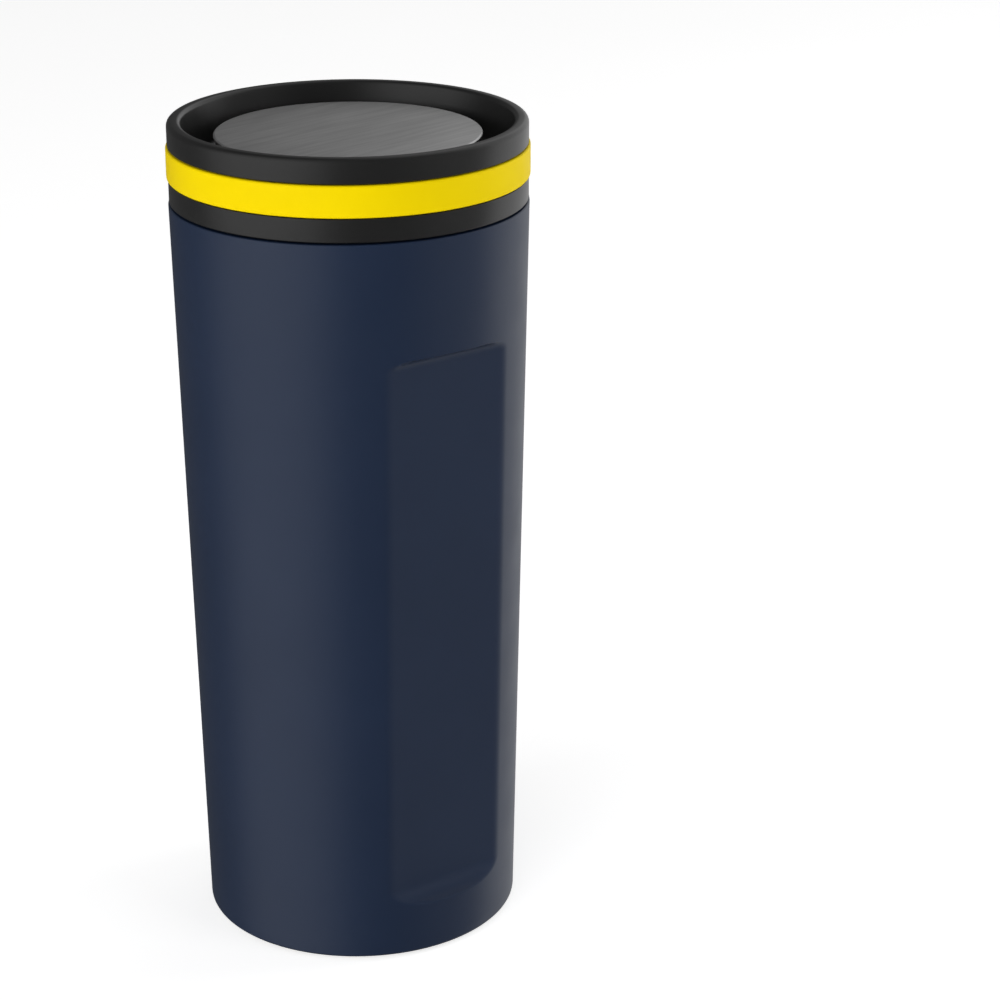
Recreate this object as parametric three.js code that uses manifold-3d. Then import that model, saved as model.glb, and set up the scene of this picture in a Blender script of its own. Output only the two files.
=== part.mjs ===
// Insulated travel tumbler with a push-button lid, in millimetres.
// The axis of the tumbler is Z. It stands on the face of its foot ring at z = 0, and the two
// grip flats face -Y and +Y. The lid screws into a collar in the mouth of the shell. Pressing
// the steel button closes a ring-shaped valve, so that one can drink from any side of the rim.
import * as THREE from "three";
import { mergeVertices } from "three/addons/utils/BufferGeometryUtils.js";
import Module from "manifold-3d";

const wasm = await Module();
wasm.setup();

// ---- Fineness of the round pieces ----
const wideSides = 40; // sides of a round piece wider than the mechanism
const slimSides = 20; // sides of a round piece of the mechanism

// ---- Clearances ----
const fitGap = 0.2; // between pieces that are bonded, clipped or rest on each other
const runGap = 0.35; // between pieces that turn or slide past each other

// ---- Shell and grip flats ----
const shellHeight = 181.05;
const shellBaseRadius = 38.6;
const shellMouthRadius = 42.3;
const shellWall = 2.2;
const footProud = 0.8; // the foot ring stands this far below the shell
const shellEdgeRound = 0.9;
const gripDepth = 3.45;
const gripAboveShellBase = 12.7;
const gripBelowSeam = 27.7;
const gripBottomFillet = 5;
const gripTopFillet = 3.2;

// ---- Base ----
const baseRimWidth = 3.2; // the shell's own rim, seen from below
const baseRimHeight = 2.2;
const footRingThickness = 3.1;
const footRingEdge = 0.5;
const footHoleRadius = 25.5;
const footHoleDraft = 1.3;
const discGap = 0.5;
const discDepth = 2.1; // from the foot's face to the disc's edge
const discCrown = 0.8;
const basePlateThickness = 2;
const basePlateUpstand = 2.4;
const basePlateLip = 0.8; // height of the step under the plate's edge
const basePlateWeb = 3; // width of the upstand
const baseSealRadius = 0.75; // cross section of the ring

// ---- Vessel and neck ----
const linerWall = 0.8;
const linerFootRadius = 7; // large radius at the bottom of the vessel
const airGap = 1.25; // narrowest gap between the vessel and the grip flats' walls
const padThickness = 3;
const padRadius = 22;
const neckDepth = 20.4; // height of the collar
const collarTopDrop = 0.35; // the collar's top edge lies this far below the shell's
const collarWall = 2.7;
const linerSealThickness = 1.3;
const ledgeHeight = 2;
const ledgeTaper = 4; // height of the cone under the ledge
const ledgeClear = 1.8; // the ledge's bore over the vessel's
const linerMouthInset = 1.2; // the vessel's bore is this much slimmer than the lid's plug
const linerFlangeInset = 0.5;
const linerSealWidth = 2.2;
const linerSealInset = 1.2;
const padBore = 0.5;
const collarLead = 0.8; // lead-in chamfer at the collar's mouth

// ---- Screw thread between the collar and the lid ----
const threadDepth = 1.4;
const threadStarts = 3;
const threadLead = 18;
const threadRidge = 1.8; // height of a ridge at its root
const threadRidgeCrest = 1;
const threadRoot = 0.4; // a ridge is rooted this deep in its wall
const lidThreadSweep = 125; // degrees
const collarThreadSweep = 160; // degrees
const lidThreadRise = 3.2; // lowest ridge above the lid's lower end

// ---- Lid ----
const lidHeight = 19.35; // rim above the seam
const lidInset = 0.2; // the lid is this much slimmer than the shell's mouth
const seamGap = 0.35;
const rimWidth = 3.2;
const rimRound = 1.1;
const bandAboveSeam = 6.05;
const bandHeight = 7.4;
const bandThickness = 1.3;
const bandProud = 0.4;
const bandRound = 0.35;
const plugWall = 3;
const plugShelf = 2.5; // step from the plug's bore in to the valve's bore
const troughLean = 1.7; // how much the trough's wall leans in
const seatSlope = 0.85; // radius gained for each millimetre up the valve's seat
const valveBoreLength = 3.8;
const coreWall = 2.2; // wall left round the hollow in the lid's underside
const gasketThickness = 2.1;
const gasketInset = 0.2; // the gasket is this much slimmer than the plug
const gasketOverBore = 0.5; // how far it reaches into the plug's bore
const gasketEdge = 0.3;
const plugEdge = 0.5;
const coreClear = 0.6; // wall left between the hollow and its neighbours
const coreEdge = 1;

// ---- Button ----
const buttonTravel = 5;
const plateDrop = 3.4; // top of the steel plate below the rim
const plateThickness = 0.8;
const plateOverBore = 1.8; // the plate's radius over the valve bore's
const plateChamfer = 0.35;
const carrierRimHeight = 2.4;
const carrierInset = 0.5; // the carrier is this much slimmer than the plate
const carrierNeckBelowTop = 6.2;
const carrierNeckInset = 2; // the carrier's neck is this much slimmer than the valve bore
const carrierNeckEdge = 1;
const sealHeight = 2.6;
const sealLipOverBore = 1.1;
const sealLand = 2.5; // depth of the seal's groove in the carrier
const sealLipRise = 0.9; // the lip's lower edge above the groove's floor
const sealLipWidth = 0.6; // height of the lip's outer face
const sealRoot = 0.4; // the seal's lower edge stands this far out of its groove
const sealShoulder = 1;
const carrierFlange = 1.4;
const bossHeight = 1.7;
const bossRadius = 5.6;
const bossFlare = 0.6;

// ---- Mechanism ----
const shaftRadius = 3;
const shaftSocket = 3.3; // length of shaft held inside the carrier
const screwRadius = 1.6;
const screwHeadRadius = 3.3;
const screwHeadHeight = 2;
const screwLength = 11;
const screwPoint = 0.5; // chamfer at the tip
const screwPointLength = 0.8;
const screwHeadEdge = 0.6;
const screwSocketRadius = 1.1;
const screwSocketFloor = 0.6;
const barrelRadius = 10.5;
const barrelWall = 2;
const barrelTopWall = 3.2;
const shaftSealRadius = 0.75; // cross section of the ring
const spokeCount = 3;
const spokeWidth = 4;
const spokeHeight = 4;
const cageRingWall = 2.4;
const bumperThickness = 1;
const bumperInset = 0.4;
const washerInset = 0.6;
const barrelEdge = 1;
const shaftEdge = 0.5;
const shaftFlangeThickness = 1.4;
const camHeight = 4;
const pegRadius = 1.3;
const pegRecess = 0.2; // the pegs end this far inside the barrel's outer face
const camTurn = 40; // degrees turned over the whole travel
const washerThickness = 0.8;
const springLength = 14;
const springWire = 0.5; // radius of the wire
const springRadius = 5.8; // middle of the wire
const springCoils = 5;
const capFloor = 2;
const capGrip = 5;
const capWall = 1.8;
const capEdge = 1;
const drainRadius = 1.5;

// ---- Heights worked out from the sizes above ----
const seam = footProud + shellHeight;
const rimTop = seam + lidHeight;
const collarTop = seam - collarTopDrop;
const collarBottom = collarTop - neckDepth;
const linerTop = collarBottom - fitGap;
const ledgeTop = linerTop - linerWall - linerSealThickness - 2 * fitGap;
const plateUnder = rimTop - plateDrop - plateThickness;
const carrierTop = plateUnder - fitGap;
const grooveTop = carrierTop - carrierNeckBelowTop;
const grooveBottom = grooveTop - sealHeight - fitGap;
const carrierBottom = grooveBottom - carrierFlange;
const bossBottom = carrierBottom - bossHeight;
const barrelTop = bossBottom - buttonTravel - runGap;
const barrelCeiling = barrelTop - barrelTopWall;
const shaftFlangeTop = barrelCeiling - bumperThickness - 2 * fitGap;
const camTop = shaftFlangeTop - shaftFlangeThickness - fitGap;
const washerTop = camTop - camHeight - fitGap;
const springTop = washerTop - washerThickness - fitGap;
const capFloorTop = springTop - springLength - fitGap;
const barrelBottom = capFloorTop + fitGap;

// ---- Radii worked out from the sizes above ----
const shellOuter = (z) =>
  shellBaseRadius + ((shellMouthRadius - shellBaseRadius) * (z - footProud)) / shellHeight;
const shellInner = (z) => shellOuter(z) - shellWall;
const footRadius = shellBaseRadius - baseRimWidth;
const collarRadius = shellInner(collarBottom) - fitGap;
const collarBore = collarRadius - collarWall;
const collarCrest = collarBore - threadDepth;
const plugRadius = collarCrest - runGap;
const plugCrest = collarBore - runGap;
const plugBore = plugRadius - plugWall;
const valveBore = plugBore - plugShelf;
const lidRadius = shellMouthRadius - lidInset;
const plateRadius = valveBore + plateOverBore;
const sealLip = valveBore + sealLipOverBore;
const linerMouthRadius = plugRadius - linerMouthInset;
const linerBaseRadius = shellBaseRadius - gripDepth - shellWall - airGap;
const ledgeRadius = linerMouthRadius + ledgeClear;

// ---- Heights of the lid's inner parts ----
const plugBottom = linerTop + gasketThickness + 2 * fitGap;
const sealLipHeight = grooveBottom + sealLipRise;
// With the button down, the lip lies on the seat with the running gap.
const valveBoreTop =
  sealLipHeight - buttonTravel - (sealLipOverBore + 0.7 * runGap) / seatSlope;
const valveBoreBottom = valveBoreTop - valveBoreLength;
const troughFloorRadius = lidRadius - rimWidth - troughLean;
const seatTop = valveBoreTop + (troughFloorRadius - valveBore) / seatSlope;
const cageTop = valveBoreBottom - fitGap;

// ---- Materials ----
const finish = (color, roughness, metalness = 0) =>
  new THREE.MeshStandardMaterial({ color, roughness, metalness });
const navyPaint = finish(0x1c2a44, 0.55);
const blackPlastic = finish(0x1e1e1f, 0.5);
const greyPlastic = finish(0x4a4c50, 0.55);
const yellowRubber = finish(0xe6cf00, 0.5);
const clearSilicone = finish(0xd8d8d2, 0.45);
const blackRubber = finish(0x151515, 0.7);
const brushedSteel = finish(0x8d8d8d, 0.35, 1);
const springSteel = finish(0xa8a8a8, 0.3, 1);

// ---- Making shapes ----
const toRadians = THREE.MathUtils.degToRad;

// A closed body, ready to be joined or cut.
function solid(geometry) {
  const bare = geometry.clone();
  bare.deleteAttribute("normal");
  bare.deleteAttribute("uv");
  const merged = mergeVertices(bare, 1e-4);
  return new wasm.Manifold(
    new wasm.Mesh({
      numProp: 3,
      vertProperties: merged.attributes.position.array,
      triVerts: new Uint32Array(merged.index.array),
    }),
  );
}

function piece(name, body, material) {
  const mesh = body.getMesh();
  const geometry = new THREE.BufferGeometry();
  geometry.setAttribute("position", new THREE.BufferAttribute(mesh.vertProperties, 3));
  geometry.setIndex(new THREE.BufferAttribute(mesh.triVerts, 1));
  const flat = geometry.toNonIndexed();
  flat.computeVertexNormals();
  const made = new THREE.Mesh(flat, material);
  made.name = name;
  return made;
}

// A ring or a disc turned about Z. The outline runs up the outside and down the inside, as
// [radius, height] points; a ring's outline is closed here, and a disc's ends on the axis.
function turned(outline, sides = wideSides) {
  const points = outline.map(([r, z]) => new THREE.Vector2(r, z));
  const onAxis = outline[0][0] === 0;
  if (!onAxis) points.push(points[0].clone());
  const geometry = new THREE.LatheGeometry(points, sides);
  geometry.rotateX(Math.PI / 2);
  return solid(geometry);
}

// Points of a quarter-round corner about (r, z), from one angle to another, in degrees.
function corner(r, z, radius, from, to, steps = 3) {
  const points = [];
  for (let i = 0; i <= steps; i++) {
    const angle = toRadians(from + ((to - from) * i) / steps);
    points.push([r + radius * Math.cos(angle), z + radius * Math.sin(angle)]);
  }
  return points;
}

// A plain ring between two radii and two heights.
const band = (inner, outer, low, high, sides) =>
  turned([[inner, low], [outer, low], [outer, high], [inner, high]], sides);

// A soft ring of round cross section, lying flat at a height.
function roundRing(radius, section, z, sides) {
  const ring = new THREE.TorusGeometry(radius, section, 6, sides);
  ring.translate(0, 0, z);
  return solid(ring);
}

// A bar of any cross section, wound about Z. The section's points are [radius, height], the
// winding starts at an angle in degrees and sweeps round while it climbs by its lead.
function wound(section, { start, sweep, lead, height, steps }) {
  const shape = new THREE.Shape(section.map(([r, z]) => new THREE.Vector2(r, z)));
  const bar = new THREE.ExtrudeGeometry(shape, { depth: 1, steps, bevelEnabled: false });
  const at = bar.attributes.position;
  for (let i = 0; i < at.count; i++) {
    const turn = sweep * (1 - at.getZ(i));
    const angle = toRadians(start + turn);
    const radius = at.getX(i);
    at.setXYZ(
      i,
      radius * Math.cos(angle),
      radius * Math.sin(angle),
      at.getY(i) + height + (lead * turn) / 360,
    );
  }
  return solid(bar);
}

function ridgeSection(root, crest) {
  const sink = Math.sign(root - crest) * threadRoot;
  const flank = (threadRidge - threadRidgeCrest) / 2;
  const section = [
    [root + sink, 0],
    [crest, flank],
    [crest, flank + threadRidgeCrest],
    [root + sink, threadRidge],
  ];
  return crest > root ? section : section.reverse();
}

// All starts of a screw thread, joined to the wall that carries them.
function withThread(wall, section, sweep, height) {
  let body = wall;
  for (let i = 0; i < threadStarts; i++) {
    const start = (360 / threadStarts) * i;
    const steps = Math.round(sweep / (360 / wideSides));
    body = body.add(wound(section, { start, sweep, lead: threadLead, height, steps }));
  }
  return body;
}

// ---- Shell ----
// A bar as wide as the shell that cuts one grip flat. A positive inset makes the larger bar
// that leaves the flat's own wall standing inside the shell.
function gripBar(inset) {
  const far = shellMouthRadius + 5;
  const low = footProud + gripAboveShellBase - inset;
  const high = seam - gripBelowSeam + inset;
  const lowFillet = gripBottomFillet + inset;
  const highFillet = gripTopFillet + inset;
  const lowFace = shellOuter(low) - gripDepth - inset;
  const highFace = shellOuter(high) - gripDepth - inset;
  const side = new THREE.Shape();
  side.moveTo(far, low);
  side.lineTo(lowFace + lowFillet, low);
  side.absarc(lowFace + lowFillet, low + lowFillet, lowFillet, -Math.PI / 2, -Math.PI, true);
  side.lineTo(highFace, high - highFillet);
  side.absarc(highFace + highFillet, high - highFillet, highFillet, Math.PI, Math.PI / 2, true);
  side.lineTo(far, high);
  const width = 2 * shellMouthRadius;
  const bar = new THREE.ExtrudeGeometry(side, {
    depth: width,
    bevelEnabled: false,
    curveSegments: 4,
  });
  bar.translate(0, 0, -width / 2);
  bar.rotateX(Math.PI / 2);
  bar.rotateZ(Math.PI / 2);
  return solid(bar);
}

const bothSides = (bar) => bar.add(bar.rotate([0, 0, 180]));

function shell() {
  const over = 1;
  const rimInside = footRadius + fitGap;
  const rimCeiling = footProud + baseRimHeight;
  const coneFoot = ledgeTop - ledgeHeight - ledgeTaper;
  const outside = turned([
    [0, footProud],
    ...corner(
      shellBaseRadius - shellEdgeRound,
      footProud + shellEdgeRound,
      shellEdgeRound,
      -90,
      0,
    ),
    [shellMouthRadius, seam],
    [0, seam],
  ]);
  const inside = turned([
    [0, -over],
    [rimInside, -over],
    [rimInside, rimCeiling],
    [shellInner(rimCeiling), rimCeiling],
    [shellInner(coneFoot), coneFoot],
    [ledgeRadius, ledgeTop - ledgeHeight],
    [ledgeRadius, ledgeTop],
    [shellInner(ledgeTop), ledgeTop],
    [shellInner(seam + over), seam + over],
    [0, seam + over],
  ]);
  const hollow = inside.subtract(bothSides(gripBar(shellWall)));
  return outside.subtract(bothSides(gripBar(0))).subtract(hollow);
}

// ---- Base ----
const basePlateBottom = footRingThickness + fitGap;
const basePlateTop = basePlateBottom + basePlateThickness;
const baseSealCentre = shellInner(basePlateTop) - fitGap - baseSealRadius;

function footRing() {
  return turned([
    [footHoleRadius + footRingEdge, 0],
    [footRadius - footRingEdge, 0],
    [footRadius, footRingEdge],
    [footRadius, footRingThickness],
    [footHoleRadius - footHoleDraft, footRingThickness],
    [footHoleRadius - footHoleDraft, discDepth],
    [footHoleRadius, footRingEdge],
  ]);
}

function baseDisc() {
  const radius = footHoleRadius - footHoleDraft - discGap;
  const rings = 4;
  const crown = [];
  for (let i = 0; i <= rings; i++) {
    const share = i / rings;
    crown.push([(radius - 0.4) * share, discDepth - discCrown * (1 - share * share)]);
  }
  return turned([
    ...crown,
    [radius, discDepth + 0.4],
    [radius, footRingThickness],
    [0, footRingThickness],
  ]);
}

function basePlate() {
  const outer = baseSealCentre - baseSealRadius - fitGap;
  return turned([
    [0, basePlateBottom],
    [footRadius, basePlateBottom],
    [footRadius, basePlateBottom + basePlateLip],
    [outer, basePlateBottom + basePlateLip],
    [outer, basePlateTop + basePlateUpstand],
    [outer - basePlateWeb, basePlateTop + basePlateUpstand],
    [outer - basePlateWeb, basePlateTop],
    [0, basePlateTop],
  ]);
}

// ---- Vessel and neck ----
const padTop = basePlateTop + fitGap + padThickness;
const linerBottom = padTop + fitGap;

function vessel() {
  const flangeRadius = collarRadius - linerFlangeInset;
  const inner = linerMouthRadius - linerWall;
  const bend = linerFootRadius;
  const floorBend = bend - linerWall;
  return turned([
    [0, linerBottom],
    ...corner(linerBaseRadius - bend, linerBottom + bend, bend, -90, 0, 4),
    [linerMouthRadius, linerTop - linerWall],
    [flangeRadius, linerTop - linerWall],
    [flangeRadius, linerTop],
    [inner, linerTop],
    ...corner(linerBaseRadius - bend, linerBottom + bend, floorBend, 0, -90, 4),
    [0, linerBottom + linerWall],
  ]);
}

function linerSeal() {
  const low = ledgeTop + fitGap;
  const outer = collarRadius - linerSealInset;
  return band(outer - linerSealWidth, outer, low, low + linerSealThickness);
}

function neckCollar() {
  const outerEdge = collarLead / 2;
  const wall = turned([
    [collarBore, collarBottom],
    [collarRadius, collarBottom],
    [collarRadius, collarTop - outerEdge],
    [collarRadius - outerEdge, collarTop],
    [collarBore + collarLead, collarTop],
    [collarBore, collarTop - collarLead],
  ]);
  const lift = lidThreadRise + threadRidge + runGap;
  const section = ridgeSection(collarBore, collarCrest);
  return withThread(wall, section, collarThreadSweep, plugBottom + lift);
}

// ---- Lid ----
function lidBody() {
  const under = seam + seamGap;
  const grooveFloor = lidRadius + bandProud - bandThickness - fitGap;
  const bandLow = seam + bandAboveSeam - fitGap;
  const bandHigh = seam + bandAboveSeam + bandHeight + fitGap;
  const rimInner = lidRadius - rimWidth;
  const coreOuter = lidRadius - coreWall;
  const coreInner = plugCrest + coreClear;
  const coreTop = bandLow - coreClear;
  const wall = turned([
    [plugBore, plugBottom],
    [plugRadius - plugEdge, plugBottom],
    [plugRadius, plugBottom + plugEdge],
    [plugRadius, under],
    [coreInner, under],
    [coreInner, coreTop - coreEdge],
    [coreInner + coreEdge, coreTop],
    [coreOuter, coreTop],
    [coreOuter, under],
    [lidRadius - plugEdge, under],
    [lidRadius, under + plugEdge],
    [lidRadius, bandLow],
    [grooveFloor, bandLow],
    [grooveFloor, bandHigh],
    [lidRadius, bandHigh],
    ...corner(lidRadius - rimRound, rimTop - rimRound, rimRound, 0, 90),
    ...corner(rimInner + rimRound, rimTop - rimRound, rimRound, 90, 180),
    [troughFloorRadius, seatTop],
    [valveBore, valveBoreTop],
    [valveBore, valveBoreBottom],
    [plugBore, valveBoreBottom],
  ]);
  const section = ridgeSection(plugRadius, plugCrest);
  return withThread(wall, section, lidThreadSweep, plugBottom + lidThreadRise);
}

function lidBand() {
  const outer = lidRadius + bandProud;
  const inner = outer - bandThickness;
  const low = seam + bandAboveSeam;
  const high = low + bandHeight;
  return turned([
    [inner, low],
    [outer - bandRound, low],
    [outer, low + bandRound],
    [outer, high - bandRound],
    [outer - bandRound, high],
    [inner, high],
  ]);
}

function lidGasket() {
  const outer = plugRadius - gasketInset;
  const inner = plugBore - gasketOverBore;
  const low = linerTop + fitGap;
  const high = low + gasketThickness;
  const middle = (low + high) / 2;
  return turned([
    [inner, low + gasketEdge],
    [inner + 2 * gasketEdge, low],
    [outer - gasketEdge, low],
    [outer, middle],
    [outer - gasketEdge, high],
    [inner, high],
  ]);
}

// ---- Button: everything that goes down with the steel plate ----
function buttonPlate() {
  const top = plateUnder + plateThickness;
  return turned([
    [0, plateUnder],
    [plateRadius, plateUnder],
    [plateRadius, top - plateChamfer],
    [plateRadius - plateChamfer, top],
    [0, top],
  ]);
}

function buttonCarrier() {
  const rim = plateRadius - carrierInset;
  const neck = valveBore - carrierNeckInset;
  const groove = neck - sealLand;
  const shaftHole = shaftRadius + fitGap;
  const screwHole = screwRadius + fitGap;
  const socketTop = bossBottom + bossHeight + shaftSocket;
  const headSeat = carrierTop - screwHeadHeight - 2 * fitGap;
  const headHole = screwHeadRadius + fitGap;
  return turned([
    [shaftHole, bossBottom],
    [bossRadius, bossBottom],
    [bossRadius + bossFlare, carrierBottom],
    [neck - carrierNeckEdge, carrierBottom],
    [neck, carrierBottom + carrierNeckEdge],
    [neck, grooveBottom],
    [groove, grooveBottom],
    [groove, grooveTop],
    [neck, grooveTop],
    [rim, carrierTop - carrierRimHeight],
    [rim, carrierTop],
    [headHole, carrierTop],
    [headHole, headSeat],
    [screwHole, headSeat],
    [screwHole, socketTop],
    [shaftHole, socketTop],
  ]);
}

function valveSeal() {
  const neck = valveBore - carrierNeckInset;
  const inner = neck - sealLand + fitGap;
  const low = grooveBottom + fitGap / 2;
  const high = grooveTop - fitGap / 2;
  const lipTop = sealLipHeight + sealLipWidth;
  return turned([
    [inner, low],
    [neck + sealRoot, low],
    [sealLip, sealLipHeight],
    [sealLip, lipTop],
    [neck + sealShoulder, high],
    [inner, high],
  ]);
}

function plungerShaft() {
  const top = bossBottom + bossHeight + shaftSocket - fitGap;
  const flangeRadius = barrelRadius - barrelWall - runGap;
  const tail = springTop - (springLength - buttonTravel) / 2;
  const hole = screwRadius + fitGap;
  const headSeat = carrierTop - screwHeadHeight - 2 * fitGap;
  const holeFloor = headSeat - screwLength - fitGap;
  return turned(
    [
      [0, tail],
      [shaftRadius - shaftEdge, tail],
      [shaftRadius, tail + shaftEdge],
      [shaftRadius, shaftFlangeTop - shaftFlangeThickness],
      [flangeRadius, shaftFlangeTop - shaftFlangeThickness],
      [flangeRadius, shaftFlangeTop],
      [shaftRadius, shaftFlangeTop],
      [shaftRadius, top],
      [hole, top],
      [hole, holeFloor],
      [0, holeFloor],
    ],
    slimSides,
  );
}

function carrierScrew() {
  const seat = carrierTop - screwHeadHeight - fitGap;
  return turned(
    [
      [0, seat - screwLength],
      [screwRadius - screwPoint, seat - screwLength],
      [screwRadius, seat - screwLength + screwPointLength],
      [screwRadius, seat],
      [screwHeadRadius, seat],
      [screwHeadRadius, seat + screwHeadHeight - screwHeadEdge],
      [screwHeadRadius - screwHeadEdge, seat + screwHeadHeight],
      [screwSocketRadius, seat + screwHeadHeight],
      [screwSocketRadius, seat + screwSocketFloor],
      [0, seat + screwSocketFloor],
    ],
    slimSides,
  );
}

const camRadius = barrelRadius - barrelWall - runGap;
const shaftClear = shaftRadius + runGap;

const thrustWasher = () =>
  band(shaftClear, camRadius - washerInset, washerTop - washerThickness, washerTop, slimSides);

// ---- Cam ring: turns as the button goes down, because its pegs run in slanted slots ----
const slotStep = 360 / spokeCount;
const slotStart = slotStep / 2 - camTurn / 2;

function camRing() {
  const low = camTop - camHeight;
  let ring = band(shaftClear, camRadius, low, camTop, slimSides);
  const root = (shaftClear + camRadius) / 2;
  const reach = barrelRadius - pegRecess - root;
  for (let i = 0; i < spokeCount; i++) {
    const peg = new THREE.CylinderGeometry(pegRadius, pegRadius, reach, 12);
    peg.rotateZ(Math.PI / 2);
    peg.translate(root + reach / 2, 0, low + camHeight / 2);
    peg.rotateZ(toRadians(slotStart + camTurn + slotStep * i));
    ring = ring.add(solid(peg));
  }
  return ring;
}

// ---- Guide cage: clipped into the lid, it carries the barrel that holds the mechanism ----
function slotCutter(index) {
  const middle = barrelRadius - barrelWall / 2;
  const climb = Math.atan2(buttonTravel, toRadians(camTurn) * middle);
  const half = (pegRadius + runGap) / Math.cos(climb);
  const extra = THREE.MathUtils.radToDeg((pegRadius + runGap) / middle);
  const lead = (buttonTravel * 360) / camTurn;
  const section = [
    [barrelRadius - barrelWall - 1, -half],
    [barrelRadius + 1, -half],
    [barrelRadius + 1, half],
    [barrelRadius - barrelWall - 1, half],
  ];
  return wound(section, {
    start: slotStart - extra + slotStep * index,
    sweep: camTurn + 2 * extra,
    lead,
    height: camTop - camHeight / 2 - buttonTravel - (lead * extra) / 360,
    steps: 8,
  });
}

function guideCage() {
  const pocket = shaftRadius + 2 * shaftSealRadius + 2 * fitGap;
  const pocketFloor = barrelTop - 2 * shaftSealRadius - fitGap;
  const bore = barrelRadius - barrelWall;
  let cage = turned(
    [
      [bore, barrelBottom],
      [barrelRadius, barrelBottom],
      [barrelRadius, barrelTop - barrelEdge],
      [barrelRadius - barrelEdge, barrelTop],
      [pocket, barrelTop],
      [pocket, pocketFloor],
      [shaftClear, pocketFloor],
      [shaftClear, barrelCeiling],
      [bore, barrelCeiling],
    ],
    slimSides,
  );
  const ringOuter = plugBore - fitGap;
  const ringInner = ringOuter - cageRingWall;
  cage = cage.add(band(ringInner, ringOuter, cageTop - spokeHeight, cageTop));
  const from = barrelRadius - 1;
  const length = ringInner + 1 - from;
  for (let i = 0; i < spokeCount; i++) {
    cage = cage.subtract(slotCutter(i));
    const spoke = new THREE.BoxGeometry(length, spokeWidth, spokeHeight);
    spoke.translate(from + length / 2, 0, cageTop - spokeHeight / 2);
    spoke.rotateZ(toRadians(slotStep * i));
    cage = cage.add(solid(spoke));
  }
  return cage;
}

const bumperRing = () =>
  band(
    shaftClear,
    camRadius - bumperInset,
    barrelCeiling - fitGap - bumperThickness,
    barrelCeiling - fitGap,
    slimSides,
  );

const shaftSeal = () =>
  roundRing(
    shaftRadius + shaftSealRadius + fitGap,
    shaftSealRadius,
    barrelTop - shaftSealRadius,
    slimSides,
  );

function springCap() {
  const skirt = barrelRadius + fitGap;
  const outer = skirt + capWall;
  const low = capFloorTop - capFloor;
  return turned(
    [
      [drainRadius, low],
      [outer - capEdge, low],
      [outer, low + capEdge],
      [outer, capFloorTop + capGrip],
      [skirt, capFloorTop + capGrip],
      [skirt, capFloorTop],
      [drainRadius, capFloorTop],
    ],
    slimSides,
  );
}

function returnSpring() {
  const sides = 6;
  const section = [];
  for (let i = 0; i < sides; i++) {
    const angle = (2 * Math.PI * i) / sides;
    section.push([
      springRadius + springWire * Math.cos(angle),
      springWire * Math.sin(angle),
    ]);
  }
  const climb = springLength - 2 * springWire;
  return wound(section, {
    start: 0,
    sweep: 360 * springCoils,
    lead: climb / springCoils,
    height: springTop - springLength + springWire,
    steps: 14 * springCoils,
  });
}

// ---- The tumbler ----
const body = new THREE.Group();
body.add(
  piece("outer_shell", shell(), navyPaint),
  piece("foot_ring", footRing(), yellowRubber),
  piece("base_disc", baseDisc(), yellowRubber),
  piece("base_plate", basePlate(), blackPlastic),
  piece("base_seal", roundRing(baseSealCentre, baseSealRadius, basePlateTop, wideSides), blackRubber),
  piece("vessel_pad", band(padBore, padRadius, basePlateTop + fitGap, padTop), blackRubber),
  piece("inner_vessel", vessel(), brushedSteel),
  piece("vessel_seal", linerSeal(), clearSilicone),
  piece("neck_collar", neckCollar(), blackPlastic),
);

const lid = new THREE.Group();
lid.add(
  piece("lid_body", lidBody(), blackPlastic),
  piece("lid_band", lidBand(), yellowRubber),
  piece("lid_gasket", lidGasket(), clearSilicone),
  piece("guide_cage", guideCage(), greyPlastic),
  piece("bumper_ring", bumperRing(), blackRubber),
  piece("shaft_seal", shaftSeal(), blackRubber),
  piece("spring_cap", springCap(), greyPlastic),
  piece("return_spring", returnSpring(), springSteel),
);

const button = new THREE.Group();
button.add(
  piece("button_plate", buttonPlate(), brushedSteel),
  piece("button_carrier", buttonCarrier(), blackPlastic),
  piece("valve_seal", valveSeal(), blackRubber),
  piece("plunger_shaft", plungerShaft(), greyPlastic),
  piece("carrier_screw", carrierScrew(), springSteel),
  piece("thrust_washer", thrustWasher(), springSteel),
  piece("cam_ring", camRing(), greyPlastic),
);
lid.add(button);

const tumbler = new THREE.Group();
tumbler.add(body, lid);

export default tumbler;
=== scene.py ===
"""Looks of the insulated travel tumbler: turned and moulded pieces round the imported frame.

Lengths are in metres. Outlines of turned pieces are (radius, height, corner radius) rows, and
they run once round the section.
"""
import math

import bmesh
import bpy
from mathutils import Matrix, Vector


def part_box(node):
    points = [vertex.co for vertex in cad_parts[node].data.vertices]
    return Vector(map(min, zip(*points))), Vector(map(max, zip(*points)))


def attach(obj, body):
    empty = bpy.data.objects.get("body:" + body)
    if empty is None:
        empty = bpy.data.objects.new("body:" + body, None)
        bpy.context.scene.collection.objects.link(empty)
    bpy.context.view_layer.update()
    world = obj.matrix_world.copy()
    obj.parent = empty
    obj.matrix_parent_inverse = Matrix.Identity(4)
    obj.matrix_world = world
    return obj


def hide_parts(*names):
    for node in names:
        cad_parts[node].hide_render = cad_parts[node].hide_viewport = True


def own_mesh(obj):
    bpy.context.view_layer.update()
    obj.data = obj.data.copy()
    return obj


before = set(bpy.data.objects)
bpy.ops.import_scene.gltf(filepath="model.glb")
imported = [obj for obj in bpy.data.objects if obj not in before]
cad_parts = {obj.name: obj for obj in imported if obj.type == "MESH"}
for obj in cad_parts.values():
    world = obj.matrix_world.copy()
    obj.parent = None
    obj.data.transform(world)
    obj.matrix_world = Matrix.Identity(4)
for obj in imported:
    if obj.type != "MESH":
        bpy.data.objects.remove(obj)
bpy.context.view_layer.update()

MM = 0.001
UP = Vector((0, 0, 1))
scene = bpy.context.scene


# ---- Sizes taken from the frame ----
def radius_of(node):
    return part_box(node)[1].x


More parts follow.
